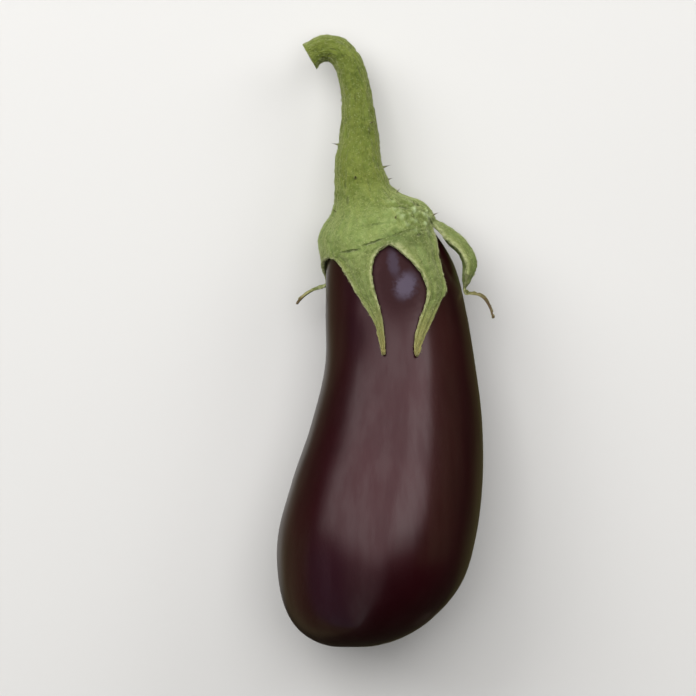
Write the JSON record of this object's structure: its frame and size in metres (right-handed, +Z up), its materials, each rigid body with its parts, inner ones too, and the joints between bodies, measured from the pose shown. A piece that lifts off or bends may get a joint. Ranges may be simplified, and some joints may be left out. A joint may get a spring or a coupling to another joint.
{
  "type": "eggplant",
  "caption": "Glossy pear-shaped purple eggplant lying on its back, with a green lobed calyx and a thick arched stalk.",
  "frame": {"origin": "on the surface that the part lies on, under the middle of its whole outline", "axes": "+Z up; +Y along the fruit towards the stalk; +X to the right of the fruit seen from above with the stalk at the top"},
  "size_m": [0.0914, 0.2574, 0.0836],
  "materials": {
    "fruit_skin": "glossy waxy skin, near-black purple",
    "green_calyx": "matt, finely hairy, olive green"
  },
  "bodies": {
    "root": {"fruit": "fruit_skin", "calyx_and_stalk": "green_calyx"}
  },
  "joints": []
}
